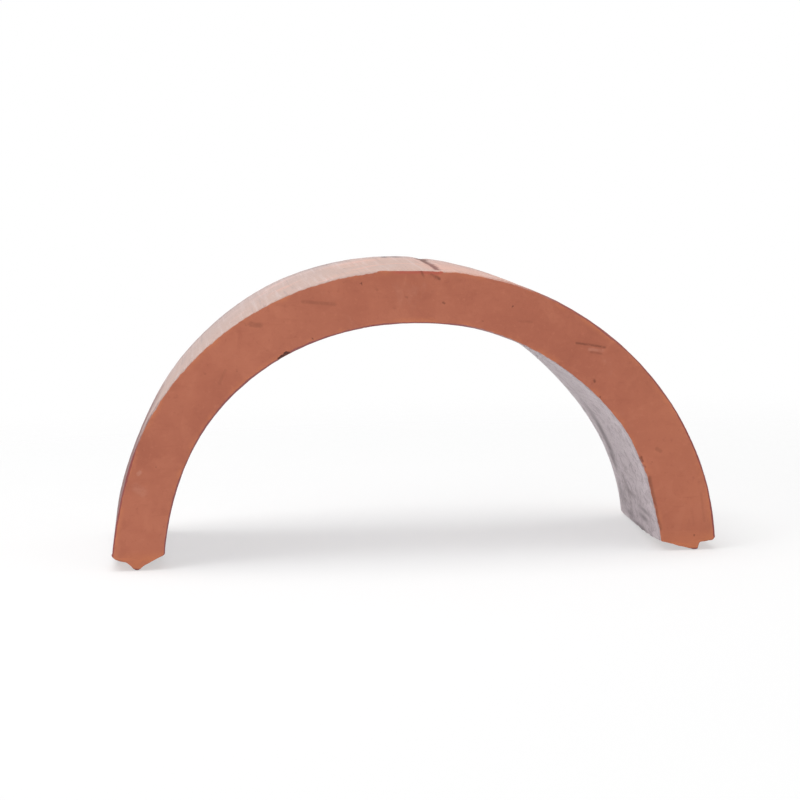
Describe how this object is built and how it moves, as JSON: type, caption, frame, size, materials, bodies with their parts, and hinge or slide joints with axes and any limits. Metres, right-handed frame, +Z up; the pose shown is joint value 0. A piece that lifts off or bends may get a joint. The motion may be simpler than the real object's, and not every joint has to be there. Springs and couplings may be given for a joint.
{
  "type": "half-round terracotta breeze block",
  "caption": "Half-round arch of extruded, wire-cut terracotta that stands on its feet and stacks crown to foot into an open screen wall.",
  "frame": {"origin": "midway between the feet, on the surface they stand on and halfway through the block", "axes": "+X across the arch from foot to foot, +Y through the opening from the front cut face to the back, +Z up to the crown"},
  "size_m": [0.1994, 0.1, 0.096],
  "materials": {
    "terracotta": "unglazed fired clay, matt: wire-cut faces orange-red, die-drawn skins flashed grey-mauve away from the cut edges"
  },
  "bodies": {
    "root": {"arch_block": "terracotta"}
  },
  "joints": []
}
